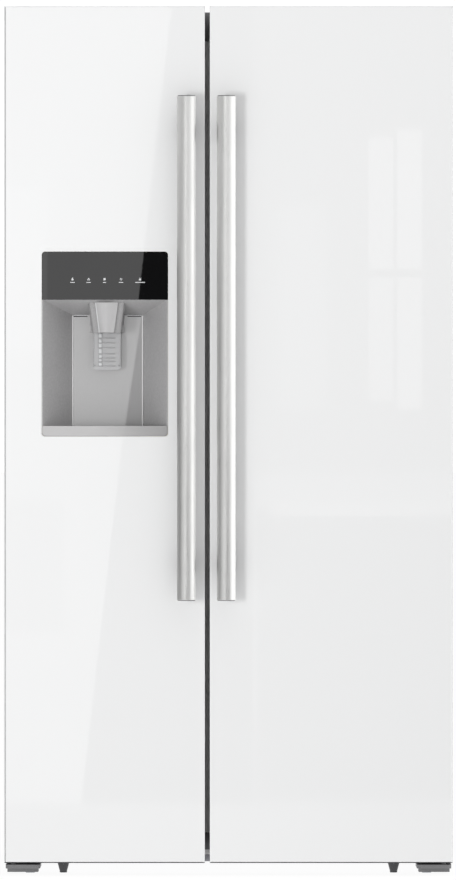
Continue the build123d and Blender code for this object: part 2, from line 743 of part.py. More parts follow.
def door_liner(door):
    """Flat sheet with a window behind each raised form, and each form as a shell that stands on it."""
    cores = door_back_forms(door, RIDGE_WALL)
    sheet = block(door, (PLATE_FRONT, DOOR_REAR), (DOOR_BOTTOM, CAP_BODY_TOP))
    for core in cores:
        sheet -= core
    shells = [form - core for form, core in zip(door_back_forms(door, 0.0), cores)]
    return [sheet] + shells


def door_foam(door):
    foam = block(inset(door, EDGE), (SHEET_REAR, PLATE_FRONT), (SKIN_BOTTOM, SKIN_TOP))
    for core in door_back_forms(door, RIDGE_WALL):
        foam += core
    return foam


def door_gasket(door, mouth):
    inner = around(mouth, GASKET_MARGIN)
    inner_z = around((FLOOR_Z, CEILING_Z), GASKET_MARGIN)
    outer_z = around(inner_z, GASKET_WIDTH)
    side = -1 if door[0] < 0 else 1
    outer = (side * GASKET_OUTER_X, door[1] + side * 4.0)
    ring = block(outer, (DOOR_REAR, GASKET_REAR), outer_z)
    return ring - block(inner, (DOOR_REAR, GASKET_REAR), inner_z)


def door_bins(door, levels):
    hinge, free = ridge_spans(door)
    x = (hinge[1], free[0]) if door[0] < 0 else (free[1], hinge[0])
    bins = []
    for z in levels:
        tub = block(x, (DOOR_REAR, BIN_REAR), (z, z + BIN_HEIGHT))
        tub = fillet(tub.edges().filter_by(Axis.Z).group_by(Axis.Y)[-1], 10)
        inner_y = (DOOR_REAR + BIN_WALL, BIN_REAR - BIN_WALL)
        hollow = block(around(x, -BIN_WALL), inner_y, (z + BIN_WALL, z + BIN_HEIGHT))
        bins.append(tub - hollow)
    return bins


def door_handle(x):
    half = HANDLE_WIDTH / 2
    back = HANDLE_FRONT + HANDLE_DEPTH
    edge = back - HANDLE_SIDE
    low, high = HANDLE_Z
    outline = Curve() + [
        Line((x - half, back), (x + half, back)),
        Line((x + half, back), (x + half, edge)),
        ThreePointArc((x + half, edge), (x, HANDLE_FRONT), (x - half, edge)),
        Line((x - half, edge), (x - half, back)),
    ]
    bar = extrude(Plane.XY.offset(low) * make_face(outline), high - low)
    return chamfer(bar.faces().filter_by(Axis.Z).edges(), 0.8)


def handle_mounts(x):
    back = HANDLE_FRONT + HANDLE_DEPTH
    posts = []
    for z in (HANDLE_Z[0] + POST_INSET, HANDLE_Z[1] - POST_INSET):
        post = block((x - POST_W / 2, x + POST_W / 2), (back, DOOR_FRONT), (z - POST_H / 2, z + POST_H / 2))
        posts.append(fillet(post.edges().filter_by(Axis.Y), POST_ROUNDING))
    return posts


# ---------------------------------------------------------------- dispenser in the left door
def dispenser_outline(y, z, grow=0.0):
    return front_plate(around(DISP_X, grow), around(z, grow), y, DISP_CORNER)


def niche(wall):
    """Tapering hollow of the dispenser, grown outwards by a wall thickness."""
    front = (around(DISP_X, min(wall - RIM, 0)), (NICHE_FLOOR - wall, PANEL_Z), DOOR_FRONT)
    rear_z = (NICHE_FLOOR - wall, NICHE_BACK_Z + wall)
    rear = (around(NICHE_BACK_X, wall), rear_z, NICHE_BACK_Y + wall)
    return taper_y(front, rear)


def chute(wall):
    low_y, low_z = CHUTE_LOW
    high_y, high_z = CHUTE_HIGH
    low = (SPOUT_X, low_y, CHUTE_W, CHUTE_D, low_z)
    high = (SPOUT_X, high_y, CHUTE_W, CHUTE_D, high_z)
    return taper_z(low, high, wall)


def control_box():
    return block(DISP_X, (DOOR_FRONT + PANEL_THICK, CONTROL_REAR), (PANEL_Z - 15, DISP_Z[1]))


def housing_envelope():
    whole = dispenser_outline((DOOR_FRONT, -200), DISP_Z)
    solid = niche(WALL) + control_box() + chute(CHUTE_WALL)
    return solid & (whole + block(DISP_X, (-290, -150), (1000, BULGE_Z[1])))


def paddle_ears():
    ears = []
    y, z = PADDLE_PIVOT
    half = PADDLE_W / 2
    for side in (-1, 1):
        near = SPOUT_X + side * (half + 2)
        ear = block((near, near + side * 5), (y - 5, NICHE_BACK_Y), (z - 7, z + 7))
        hole = rod_x((near, near + side * 5), y, z, PADDLE_PIN + RUNNING)
        ears.append(ear - hole)
    return ears


def dispenser_housing():
    body = housing_envelope() - niche(0.0) - chute(0.0)
    body -= block(around(DISP_X, -8), (DOOR_FRONT, CONTROL_REAR - WALL), (PANEL_Z + 8, DISP_Z[1] - 8))
    body -= block(DISP_X, (DOOR_FRONT, LIP_REAR + 1), (DISP_Z[0], LIP_TOP + SLIDE_GAP))
    for ear in paddle_ears():
        body += ear
    return body


def dispenser_panel():
    panel = dispenser_outline((DOOR_FRONT, DOOR_FRONT + PANEL_THICK), DISP_Z)
    return panel & block(DISP_X, (DOOR_FRONT, -290), (PANEL_Z, DISP_Z[1]))


def spout_form(grow):
    top_w, top_d, top_y = SPOUT_TOP
    low_w, low_d, low_y = SPOUT_LOW
    low = (SPOUT_X, low_y, low_w, low_d, SPOUT_Z[0])
    high = (SPOUT_X, top_y, top_w, top_d, SPOUT_Z[1])
    return taper_z(low, high, grow)


def dispenser_spout():
    front = (SPOUT_X, -301.0, 30.5, 12.0, SPOUT_Z[0])
    top = (SPOUT_X, -301.0, 47.0, 12.0, SPOUT_Z[1])
    nose = taper_z(front, top, radius=2.0) - block((-300, -190), (-320, -304), SPOUT_Z)
    body = (spout_form(0.0) + nose - spout_form(-WALL)) & niche(0.0)
    y, z = FLAP_PIVOT
    return body - rod_x((SPOUT_X - 60, SPOUT_X + 60), y, z, FLAP_PIN + RUNNING)


def dispenser_paddle():
    half = PADDLE_W / 2
    x = (SPOUT_X - half, SPOUT_X + half)
    plate = block(x, PADDLE_Y, PADDLE_Z)
    low = plate.edges().filter_by(Axis.Y).group_by(Axis.Z)[0]
    plate = fillet(low, 8)
    for z in PADDLE_RIBS:
        plate += block((x[0] + 5, x[1] - 5), (PADDLE_Y[0] - 1.2, PADDLE_Y[0]), (z, z + 3))
    y, z = PADDLE_PIVOT
    return plate + rod_x((x[0] - 6, x[1] + 6), y, z, PADDLE_PIN)


def ice_flap():
    y, z = FLAP_PIVOT
    half = FLAP_W / 2
    plate = block((SPOUT_X - half, SPOUT_X + half), (y - FLAP_LENGTH, y), (z - 1.5, z + 1.5))
    return plate + rod_x((SPOUT_X - 33.5, SPOUT_X + 33.5), y, z, FLAP_PIN)


def drip_tray():
    gap = SLIDE_GAP
    floor = NICHE_FLOOR + gap
    rear = NICHE_BACK_Y - 2
    front = (around(DISP_X, -RIM - gap), (floor, LIP_TOP), DOOR_FRONT)
    back = (around(NICHE_BACK_X, -gap), (floor, LIP_TOP), NICHE_BACK_Y)
    lip = dispenser_outline((DOOR_FRONT, LIP_REAR), DISP_Z, -gap)
    tray = taper_y(front, back) + (lip & block(DISP_X, (DOOR_FRONT, LIP_REAR), (DISP_Z[0], LIP_TOP)))
    tray -= block(DISP_X, (rear, NICHE_BACK_Y), (floor, LIP_TOP))
    tray -= block(DISP_X, (LIP_REAR, rear), (LIP_TOP - 4, LIP_TOP))
    for slot in range(15):
        x = NICHE_BACK_X[0] + 4 + slot * 9.6
        tray -= block((x, x + 4.5), (DOOR_FRONT + 14, rear - 6), (floor + 3, LIP_TOP - 4))
    return tray


def left_glass():
    return door_glass(LEFT_DOOR) - dispenser_outline((DOOR_FRONT, GLASS_REAR), DISP_Z, GLASS_GAP)


def left_skin():
    return door_skin(LEFT_DOOR) - dispenser_outline((SKIN_FRONT, SHEET_REAR), DISP_Z, GLASS_GAP)


def left_foam():
    return door_foam(LEFT_DOOR) - housing_envelope()


def left_liner():
    duct = chute(CHUTE_WALL)
    return [piece - duct for piece in door_liner(LEFT_DOOR)]


PARTS = {
    "cabinet_shell": cabinet_shell(),
    "rear_panel": rear_panel(),
    "base_plate": base_plate(),
    "front_frame": front_frame(),
    "cabinet_insulation": cabinet_insulation(),
    "freezer_liner": liner(FREEZER_X),
    "fridge_liner": liner(FRIDGE_X),
    "machine_cover": machine_cover(),
    "water_valve": water_valve(),
    "cord_gland": cord_gland(),
    "compressor": compressor(),
    "hinge_brackets": hinge_brackets(),
    "hinge_covers": hinge_covers(),
    "rear_roller_brackets": [rear_roller_bracket(-1), rear_roller_bracket(1)],
    "front_rollers": [roller(-1, FRONT_ROLLER), roller(1, FRONT_ROLLER)],
    "rear_rollers": [roller(-1, REAR_ROLLER), roller(1, REAR_ROLLER)],
    "levelling_foot_left": levelling_foot(-1),
    "levelling_foot_right": levelling_foot(1),
    "shelf_supports": shelf_supports(),
    "freezer_drawer_1": drawer(FREEZER_X, DRAWERS[0]),
    "freezer_drawer_2": drawer(FREEZER_X, DRAWERS[1]),
    "crisper_drawer_1": drawer(FRIDGE_X, DRAWERS[0]),
    "crisper_drawer_2": drawer(FRIDGE_X, DRAWERS[1]),
    "evaporator": evaporator(),
    "evaporator_cover": evaporator_cover(),
    "air_duct": air_duct(),
    "interior_lamps": interior_lamps(),
    "ice_maker": ice_maker(),
    "ice_bin": ice_bin(),
    "left_door_glass": left_glass(),
    "left_door_skin": left_skin(),
    "left_door_end_caps": door_end_caps(LEFT_DOOR),
    "left_door_foam": left_foam(),
    "left_door_liner": left_liner(),
    "left_door_gasket": door_gasket(LEFT_DOOR, FREEZER_X),
    "left_door_bins": door_bins(LEFT_DOOR, FREEZER_BIN_Z),
    "left_handle": door_handle(HANDLE_X[0]),
    "left_handle_mounts": handle_mounts(HANDLE_X[0]),
    "dispenser_housing": dispenser_housing(),
    "dispenser_panel": dispenser_panel(),
    "dispenser_spout": dispenser_spout(),
    "dispenser_paddle": dispenser_paddle(),
    "ice_flap": ice_flap(),
    "drip_tray": drip_tray(),
    "right_door_glass": door_glass(RIGHT_DOOR),
    "right_door_skin": door_skin(RIGHT_DOOR),
    "right_door_end_caps": door_end_caps(RIGHT_DOOR),
    "right_door_foam": door_foam(RIGHT_DOOR),
    "right_door_liner": door_liner(RIGHT_DOOR),
    "right_door_gasket": door_gasket(RIGHT_DOOR, FRIDGE_X),
    "right_door_bins": door_bins(RIGHT_DOOR, FRIDGE_BIN_Z),
    "right_handle": door_handle(HANDLE_X[1]),
    "right_handle_mounts": handle_mounts(HANDLE_X[1]),
}

for number, z in enumerate(FREEZER_SHELF_Z, start=1):
    PARTS["freezer_shelf_%d" % number] = shelf(FREEZER_X, z, FREEZER_BACK)
for number, z in enumerate(FRIDGE_SHELF_Z, start=1):
    back = FRIDGE_BACK if number > 1 else FRIDGE_BACK - 2
    PARTS["fridge_shelf_%d" % number] = shelf(FRIDGE_X, z, back)

for name, shape in PARTS.items():
    solids = shape if isinstance(shape, list) else [shape]
    found = [solid for piece in solids for solid in piece.solids()]
    whole = found[0] if len(found) == 1 else Compound(children=found)
    export_step(whole, os.path.join("parts", name + ".step"))
    print(name, len(found), round(sum(solid.volume for solid in found)))
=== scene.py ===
import json
import math

import bmesh
import bpy
from mathutils import Matrix, Vector


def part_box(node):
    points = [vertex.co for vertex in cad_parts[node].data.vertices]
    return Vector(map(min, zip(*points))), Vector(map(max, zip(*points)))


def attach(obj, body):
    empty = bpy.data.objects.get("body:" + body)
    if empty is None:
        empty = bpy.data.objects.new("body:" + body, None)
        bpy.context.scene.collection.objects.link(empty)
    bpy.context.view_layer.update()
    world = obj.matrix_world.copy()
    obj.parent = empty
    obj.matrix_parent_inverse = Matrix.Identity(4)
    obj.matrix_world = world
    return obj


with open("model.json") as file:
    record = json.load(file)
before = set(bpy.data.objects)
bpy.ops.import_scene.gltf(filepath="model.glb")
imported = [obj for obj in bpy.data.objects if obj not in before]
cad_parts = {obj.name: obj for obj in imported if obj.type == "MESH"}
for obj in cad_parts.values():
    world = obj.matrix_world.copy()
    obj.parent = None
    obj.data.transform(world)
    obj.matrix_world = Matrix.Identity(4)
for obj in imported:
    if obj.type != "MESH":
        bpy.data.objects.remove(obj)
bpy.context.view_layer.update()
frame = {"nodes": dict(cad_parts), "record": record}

BODY_OF = {}
for body, names in frame["record"]["behaviour"]["bodies"].items():
    for name in names:
        BODY_OF[name] = body

DOOR_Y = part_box("right_door_glass")[0].y
CAMERA_DISTANCE = 12.0
CAMERA_HEIGHT = 0.883
PICTURE_HEIGHT = 1.787


# ---------------------------------------------------------------- materials
def new_material(name):
    material = bpy.data.materials.new(name)
    material.use_nodes = True
    tree = material.node_tree
    return material, tree, tree.nodes["Principled BSDF"]


def noise(tree, scale, detail=4.0, stretch=(1, 1, 1)):
    coords = tree.nodes.new("ShaderNodeTexCoord")
    mapping = tree.nodes.new("ShaderNodeMapping")
    mapping.inputs["Scale"].default_value = stretch
    texture = tree.nodes.new("ShaderNodeTexNoise")
    texture.inputs["Scale"].default_value = scale
    texture.inputs["Detail"].default_value = detail
    tree.links.new(coords.outputs["Object"], mapping.inputs["Vector"])
    tree.links.new(mapping.outputs["Vector"], texture.inputs["Vector"])
    return texture.outputs["Fac"]


def spread(tree, value, low, high):
    """Maps a noise value to a range."""
    node = tree.nodes.new("ShaderNodeMapRange")
    node.inputs["From Min"].default_value = 0.3
    node.inputs["From Max"].default_value = 0.7
    node.inputs["To Min"].default_value = low
    node.inputs["To Max"].default_value = high
    tree.links.new(value, node.inputs["Value"])
    return node.outputs["Result"]


def tint(tree, factor, dark, light):
    """Colour that wanders between two close shades."""
    node = tree.nodes.new("ShaderNodeMix")
    node.data_type = "RGBA"
    node.inputs[6].default_value = (*dark, 1)
    node.inputs[7].default_value = (*light, 1)
    tree.links.new(factor, node.inputs[0])
    return node.outputs[2]


def bump(tree, shader, height, strength, distance=0.0002):
    node = tree.nodes.new("ShaderNodeBump")
    node.inputs["Strength"].default_value = strength
    node.inputs["Distance"].default_value = distance
    tree.links.new(height, node.inputs["Height"])
    tree.links.new(node.outputs["Normal"], shader.inputs["Normal"])


def surface(name, colour, rough, metallic=0.0, specular=0.5, vary=0.03, rough_vary=0.04,
            grain=900.0, relief=0.08, cloud=6.0, stretch=(1, 1, 1), coat=0.0, alpha=1.0,
            transmission=0.0, anisotropic=0.0, ior=1.5, coat_rough=0.08, coat_ior=1.5):
    """A solid finish with a drifting shade, uneven gloss and a fine relief."""
    material, tree, shader = new_material(name)
    dark = tuple(c * (1 - vary) for c in colour)
    light = tuple(min(1.0, c * (1 + vary)) for c in colour)
    drift = spread(tree, noise(tree, cloud, 3.0), 0.0, 1.0)
    fine = noise(tree, grain, 5.0, stretch)
    tree.links.new(tint(tree, drift, dark, light), shader.inputs["Base Color"])
    gloss = spread(tree, fine, max(0.0, rough - rough_vary), rough + rough_vary)
    tree.links.new(gloss, shader.inputs["Roughness"])
    bump(tree, shader, fine, relief)
    shader.inputs["Metallic"].default_value = metallic
    shader.inputs["Specular IOR Level"].default_value = specular
    shader.inputs["Coat Weight"].default_value = coat
    shader.inputs["Coat Roughness"].default_value = coat_rough
    shader.inputs["Coat IOR"].default_value = coat_ior
    shader.inputs["Alpha"].default_value = alpha
    shader.inputs["Transmission Weight"].default_value = transmission
    shader.inputs["Anisotropic"].default_value = anisotropic
    shader.inputs["IOR"].default_value = ior
    return material


ALONG_Z = (1, 1, 0.012)
ALONG_X = (0.012, 1, 1)

M = {
    "door_glass": surface("door_glass", (0.825, 0.828, 0.83), 0.012, specular=0.34, vary=0.004,
                          rough_vary=0.006, grain=60, relief=0.01, cloud=1.5),
    "edge_white": surface("edge_white", (0.84, 0.845, 0.85), 0.25, specular=0.3, vary=0.01, grain=400,
                          relief=0.02),
    "black_glass": surface("black_glass", (0.0028, 0.0028, 0.0032), 0.012, specular=0.54, vary=0.1,
                           rough_vary=0.006, grain=80, relief=0.008),
    "frame_grey": surface("frame_grey", (0.16, 0.16, 0.165), 0.38, metallic=0.3, grain=1500, relief=0.1),
    "cap_grey": surface("cap_grey", (0.045, 0.045, 0.048), 0.42, grain=1800, relief=0.2),
    "side_paint": surface("side_paint", (0.40, 0.41, 0.42), 0.36, metallic=0.25, grain=420, relief=0.16,
                          vary=0.02),
    "sheet": surface("sheet", (0.52, 0.53, 0.54), 0.42, metallic=0.55, grain=300, relief=0.12, vary=0.05),
    "front_paint": surface("front_paint", (0.90, 0.89, 0.89), 0.4, grain=900, relief=0.1),
    "base_paint": surface("base_paint", (0.33, 0.33, 0.36), 0.4, grain=900, relief=0.1),
    "liner": surface("liner", (0.80, 0.81, 0.82), 0.28, specular=0.45, grain=700, relief=0.05, vary=0.012),
    "foam": surface("foam", (0.78, 0.70, 0.48), 0.9, grain=500, relief=0.9, vary=0.08),
    "handle": surface("handle", (0.80, 0.80, 0.79), 0.36, metallic=1.0, grain=1400, relief=0.07,
                      stretch=ALONG_Z, rough_vary=0.09, anisotropic=0.5, vary=0.03),
    "brushed_silver": surface("brushed_silver", (0.42, 0.415, 0.417), 0.13, metallic=0.15, grain=1500,
                              relief=0.05, stretch=ALONG_X, rough_vary=0.05, vary=0.05, coat=0.5),
    # Grey of the niche housing; also used for the painted shadow strips under the paddle's ribs
    "niche": surface("niche", (0.435, 0.431, 0.435), 0.36, metallic=0.12, grain=700, relief=0.3, vary=0.07,
                     cloud=260),
    "niche_back": surface("niche_back", (0.372, 0.369, 0.372), 0.30, metallic=0.1, grain=1600, relief=0.03,
                          vary=0.015, coat=1.0, coat_rough=0.015, coat_ior=1.72),
    "spout": surface("spout", (0.35, 0.347, 0.35), 0.28, metallic=0.3, grain=1400, relief=0.06, coat=0.3),
    "spout_face": surface("spout_face", (0.49, 0.486, 0.49), 0.30, metallic=0.15, grain=1400,
                          relief=0.03),
    "paddle": surface("paddle", (0.58, 0.58, 0.59), 0.2, specular=0.6, grain=700, relief=0.05, alpha=1.0,
                      transmission=0.25, coat=0.4),
    # Dark plastic; also used as painted shade in the niche's two slots
    "dark_plastic_and_slot_shade": surface("dark_plastic_and_slot_shade", (0.025, 0.025, 0.027), 0.5, grain=2200, relief=0.3, vary=0.08),
    "cover_grey": surface("cover_grey", (0.30, 0.305, 0.31), 0.5, grain=2200, relief=0.3),
    "nylon": surface("nylon", (0.13, 0.145, 0.18), 0.42, grain=900, relief=0.15, vary=0.06),
    "bracket": surface("bracket", (0.20, 0.20, 0.205), 0.42, metallic=0.3, grain=700, relief=0.2, vary=0.05),
    "zinc": surface("zinc", (0.58, 0.585, 0.59), 0.32, metallic=1.0, grain=220, relief=0.12, vary=0.08),
    "gasket": surface("gasket", (0.36, 0.365, 0.37), 0.62, grain=1100, relief=0.2),
    "rubber": surface("rubber", (0.012, 0.012, 0.012), 0.7, grain=1200, relief=0.35),
    "enamel": surface("enamel", (0.008, 0.008, 0.009), 0.22, grain=260, relief=0.15, coat=0.5),
    "copper": surface("copper", (0.62, 0.30, 0.17), 0.28, metallic=1.0, grain=500, relief=0.12, vary=0.12),
    "fins": surface("fins", (0.74, 0.75, 0.76), 0.35, metallic=1.0, grain=900, relief=0.1, vary=0.05),
    "clear": surface("clear", (0.86, 0.91, 0.94), 0.08, grain=500, relief=0.02, alpha=0.42, vary=0.01),
    "shelf_glass": surface("shelf_glass", (0.62, 0.80, 0.75), 0.03, grain=300, relief=0.01, alpha=0.40,
                           vary=0.01),
    "lamp": surface("lamp", (0.92, 0.92, 0.90), 0.35, grain=1200, relief=0.05),
    "white_plastic": surface("white_plastic", (0.76, 0.77, 0.77), 0.4, grain=1500, relief=0.1),
    # Light grey for the printed pictograms; also used as painted highlight on the spout's edge strip and the
    # paddle's bead
    "print_and_highlight_white": surface("print_and_highlight_white", (0.66, 0.67, 0.68), 0.5, grain=2500, relief=0.02, vary=0.01),
    # White for the niche's edge beads: a painted highlight
    "bead": surface("bead", (0.80, 0.80, 0.80), 0.3, grain=900, relief=0.03),
    "chrome": surface("chrome", (0.78, 0.785, 0.79), 0.12, metallic=1.0, grain=900, relief=0.03),
    "wire": surface("wire", (0.03, 0.03, 0.035), 0.5, grain=900, relief=0.2),
}

FINISH = {
    "cabinet_shell": "side_paint", "rear_panel": "sheet", "base_plate": "base_paint",
    "front_frame": "front_paint", "cabinet_insulation": "foam", "freezer_liner": "liner",
    "fridge_liner": "liner", "machine_cover": "dark_plastic_and_slot_shade", "water_valve": "white_plastic",
    "cord_gland": "rubber", "compressor": "enamel", "hinge_brackets": "bracket",
    "hinge_covers": "cover_grey", "rear_roller_brackets": "zinc", "shelf_supports": "liner",
    "evaporator": "fins", "evaporator_cover": "liner", "air_duct": "liner", "interior_lamps": "lamp",
    "ice_maker": "white_plastic", "front_rollers": "nylon", "rear_rollers": "nylon",
    "levelling_foot_left": "cap_grey", "levelling_foot_right": "cap_grey", "ice_bin": "clear",
    "dispenser_housing": "niche", "dispenser_panel": "black_glass", "dispenser_spout": "spout",
    "dispenser_paddle": "paddle", "ice_flap": "dark_plastic_and_slot_shade", "drip_tray": "brushed_silver",
}
for side in ("left", "right"):
    FINISH[side + "_door_glass"] = "door_glass"
    FINISH[side + "_door_skin"] = "frame_grey"
    FINISH[side + "_door_end_caps"] = "cap_grey"
    FINISH[side + "_door_foam"] = "foam"
    FINISH[side + "_door_liner"] = "liner"
    FINISH[side + "_door_gasket"] = "gasket"
    FINISH[side + "_door_bins"] = "clear"
    FINISH[side + "_handle"] = "handle"
    FINISH[side + "_handle_mounts"] = "cap_grey"
for name in frame["nodes"]:
    if "shelf_" in name and name not in FINISH:
        FINISH[name] = "shelf_glass"
    if "drawer" in name:
        FINISH[name] = "clear"


def paint(obj, finish):
    obj.data.materials.clear()
    obj.data.materials.append(M[finish])


for name, obj in frame["nodes"].items():
    paint(obj, FINISH[name])


# ---------------------------------------------------------------- added pieces
def place(name, build, finish, body, smooth=False):
    """Turns a bmesh into a piece that rides on a body."""
    mesh = bpy.data.meshes.new(name)
    bmesh.ops.recalc_face_normals(build, faces=build.faces)
    build.to_mesh(mesh)
    build.free()
    obj = bpy.data.objects.new(name, mesh)
    bpy.context.scene.collection.objects.link(obj)
    if smooth:
        mesh.polygons.foreach_set("use_smooth", [True] * len(mesh.polygons))
        mesh.set_sharp_from_angle(angle=math.radians(40))
    paint(obj, finish)
    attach(obj, body)
    return obj


def add_box(build, low, high, bevel=0.0, segments=2):
    """Adds a box with rounded edges to a bmesh."""
    size = [b - a for a, b in zip(low, high)]
    middle = [(a + b) / 2 for a, b in zip(low, high)]
    made = bmesh.ops.create_cube(build, size=1.0, matrix=Matrix.LocRotScale(middle, None, size))
    if bevel:
        edges = list({edge for vert in made["verts"] for edge in vert.link_edges})
        bmesh.ops.bevel(build, geom=edges, offset=bevel, segments=segments, profile=0.5, affect="EDGES")


def boxes(name, spans, finish, body, bevel=0.0005):
    build = bmesh.new()
    for low, high in spans:
        add_box(build, low, high, bevel)
    return place(name, build, finish, body, smooth=True)


def add_disc(build, centre, axis, radius, height, sides=24, top=None):
    """Adds a short cylinder or cone frustum; axis points to its top."""
    turn = Vector((0, 0, 1)).rotation_difference(Vector(axis))
    middle = Vector(centre) + Vector(axis) * height / 2
    matrix = Matrix.LocRotScale(middle, turn, (1, 1, 1))
    bmesh.ops.create_cone(build, cap_ends=True, segments=sides, radius1=radius,
                          radius2=radius if top is None else top, depth=height, matrix=matrix)


def screws(name, centres, axis, body, radius=0.0042, finish="zinc"):
    """Pan head screws on washers, with a raised hexagonal centre."""
    build = bmesh.new()
    for centre in centres:
        add_disc(build, centre, axis, radius * 1.15, 0.0006, 20)
        above = Vector(centre) + Vector(axis) * 0.0006
        add_disc(build, above, axis, radius, 0.0014, 20, radius * 0.72)
        rim = Vector(centre) + Vector(axis) * 0.002
        add_disc(build, rim, axis, radius * 0.3, 0.0003, 6)
    return place(name, build, finish, body, smooth=True)


def sweep(name, points, radius, finish, body, sides=12, rounding=4):
    """Round tube along a path of points, with its corners rounded by subdivision."""
    path = [Vector(p) for p in points]
    for _ in range(rounding):
        finer = [path[0]]
        for a, b in zip(path, path[1:]):
            finer += [a.lerp(b, 0.25), a.lerp(b, 0.75)]
        path = finer + [path[-1]]
    build = bmesh.new()
    rings = []
    normal = None
    for index, point in enumerate(path):
        ahead = path[min(index + 1, len(path) - 1)] - path[max(index - 1, 0)]
        ahead.normalize()
        if normal is None:
            normal = ahead.orthogonal().normalized()
        normal = (normal - ahead * normal.dot(ahead)).normalized()
        across = ahead.cross(normal)
        ring = []
        for side in range(sides):
            turn = 2 * math.pi * side / sides
            offset = math.cos(turn) * normal + math.sin(turn) * across
            ring.append(build.verts.new(point + radius * offset))
        rings.append(ring)
    for low, high in zip(rings, rings[1:]):
        for side in range(sides):
            other = (side + 1) % sides
            build.faces.new((low[side], low[other], high[other], high[side]))
    build.faces.new(list(reversed(rings[0])))
    build.faces.new(rings[-1])
    return place(name, build, finish, body, smooth=True)


def prism_y(build, outline, y, depth):
    """Adds a flat shape given by (x, z) points, standing on a plane of constant y towards the front."""
    near = [build.verts.new((x, y - depth, z)) for x, z in outline]
    far = [build.verts.new((x, y, z)) for x, z in outline]
    build.faces.new(near)
    build.faces.new(list(reversed(far)))
    for index in range(len(outline)):
        other = (index + 1) % len(outline)
        build.faces.new((near[other], near[index], far[index], far[other]))


def ring_points(x, z, radius, sides, start=0.0, stop=360.0):
    turns = [math.radians(start + (stop - start) * i / sides) for i in range(sides + (stop - start < 360))]
    return [(x + radius * math.cos(t), z + radius * math.sin(t)) for t in turns]


def bar(build, x0, x1, z0, z1, y, depth):
    prism_y(build, [(x0, z0), (x1, z0), (x1, z1), (x0, z1)], y, depth)


# Control panel: five small pictograms, each over a short bar
panel_low, panel_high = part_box("dispenser_panel")
panel_w = panel_high.x - panel_low.x
panel_h = panel_high.z - panel_low.z
mark_y = panel_low.y
mark_depth = 0.00015
mark_z = panel_low.z + 0.365 * panel_h
mark_x = [panel_low.x + share * panel_w for share in (0.243, 0.371, 0.497, 0.628, 0.779)]
marks = bmesh.new()
bar_half = (0.0046, 0.0046, 0.0030, 0.0044, 0.0098)
for x, half in zip(mark_x, bar_half):
    bar(marks, x - half, x + half, mark_z - 0.0012, mark_z + 0.0004, mark_y, mark_depth)
above = mark_z + 0.0062
drop = ring_points(mark_x[0], above - 0.0006, 0.0022, 18, 150, 390) + [(mark_x[0], above + 0.0036)]
prism_y(marks, drop, mark_y, mark_depth)
for dx, dz in ((-0.0014, -0.0012), (0.0014, -0.0012), (0.0, 0.0014)):
    bar(marks, mark_x[1] + dx - 0.0011, mark_x[1] + dx + 0.0011, above + dz - 0.0011, above + dz + 0.0011,
        mark_y, mark_depth)
bar(marks, mark_x[2] - 0.0022, mark_x[2] + 0.0022, above - 0.0022, above + 0.0022, mark_y, mark_depth)
for turn in range(3):
    angle = math.radians(60 * turn)
    dx, dz = math.cos(angle) * 0.0030, math.sin(angle) * 0.0030
    nx, nz = -math.sin(angle) * 0.0003, math.cos(angle) * 0.0003
    centre = (mark_x[3], above)
    arm = [(centre[0] + dx + nx, centre[1] + dz + nz), (centre[0] - dx + nx, centre[1] - dz + nz),
           (centre[0] - dx - nx, centre[1] - dz - nz), (centre[0] + dx - nx, centre[1] + dz - nz)]
    prism_y(marks, arm, mark_y, mark_depth + 0.00001 * turn)
bar(marks, mark_x[4] - 0.0022, mark_x[4] + 0.0022, above - 0.0026, above + 0.0008, mark_y, mark_depth)
for side in (-1, 1):
    bar(marks, mark_x[4] + side * 0.0015 - 0.00025, mark_x[4] + side * 0.0015 + 0.00025, above + 0.0008,
        above + 0.0022, mark_y, mark_depth)
bar(marks, mark_x[4] - 0.00175, mark_x[4] + 0.00175, above + 0.0022, above + 0.0027, mark_y, mark_depth)
place("panel_marks", marks, "print_and_highlight_white", "freezer_door")

# Niche: a plate over the back wall, with white beads down its sides as painted highlights and two dark strips
# near its top as painted shade of slots
niche_low, niche_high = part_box("dispenser_housing")
paddle_low, paddle_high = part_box("dispenser_paddle")
tray_low, tray_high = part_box("drip_tray")
spout_low, spout_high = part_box("dispenser_spout")
middle_x = (spout_low.x + spout_high.x) / 2
back_y = tray_high.y + 0.002
back_top = spout_low.z + 0.038
half_back = 0.0715
PLATE_TWIST = 0.0003
PLATE_STEPS = 16
plate_x = (middle_x - half_back + 0.001, middle_x + half_back + 0.001)
plate_z = (tray_high.z + 0.0008, back_top - 0.0015)
plate = bmesh.new()
rows = []
for up in range(PLATE_STEPS + 1):
    row = []
    for across in range(PLATE_STEPS + 1):
        x_share, z_share = across / PLATE_STEPS, up / PLATE_STEPS
        y = back_y - 0.0004 - PLATE_TWIST * x_share * z_share
        x = plate_x[0] + (plate_x[1] - plate_x[0]) * x_share
        row.append(plate.verts.new((x, y, plate_z[0] + (plate_z[1] - plate_z[0]) * z_share)))
    rows.append(row)
for low_row, high_row in zip(rows, rows[1:]):
    for a in range(PLATE_STEPS):
        plate.faces.new((low_row[a], low_row[a + 1], high_row[a + 1], high_row[a]))
place("niche_back_plate", plate, "niche_back", "freezer_door", smooth=True)
# Dark strips near the plate's top: painted shade standing for two slots
for number, (x0, x1) in enumerate(((-0.0685, -0.0405), (0.0415, 0.0695))):
    boxes("niche_slot_%d" % number,
          [((middle_x + x0, back_y - 0.0019, back_top - 0.0040),
            (middle_x + x1, back_y - 0.0008, back_top - 0.0022))],
          "dark_plastic_and_slot_shade", "freezer_door", 0.0002)
    sweep("niche_slot_bead_%d" % number,
          [(middle_x + x0, back_y - 0.0012, back_top - 0.0008),
           (middle_x + x1, back_y - 0.0012, back_top - 0.0008)],
          0.0009, "chrome", "freezer_door", 10, 0)
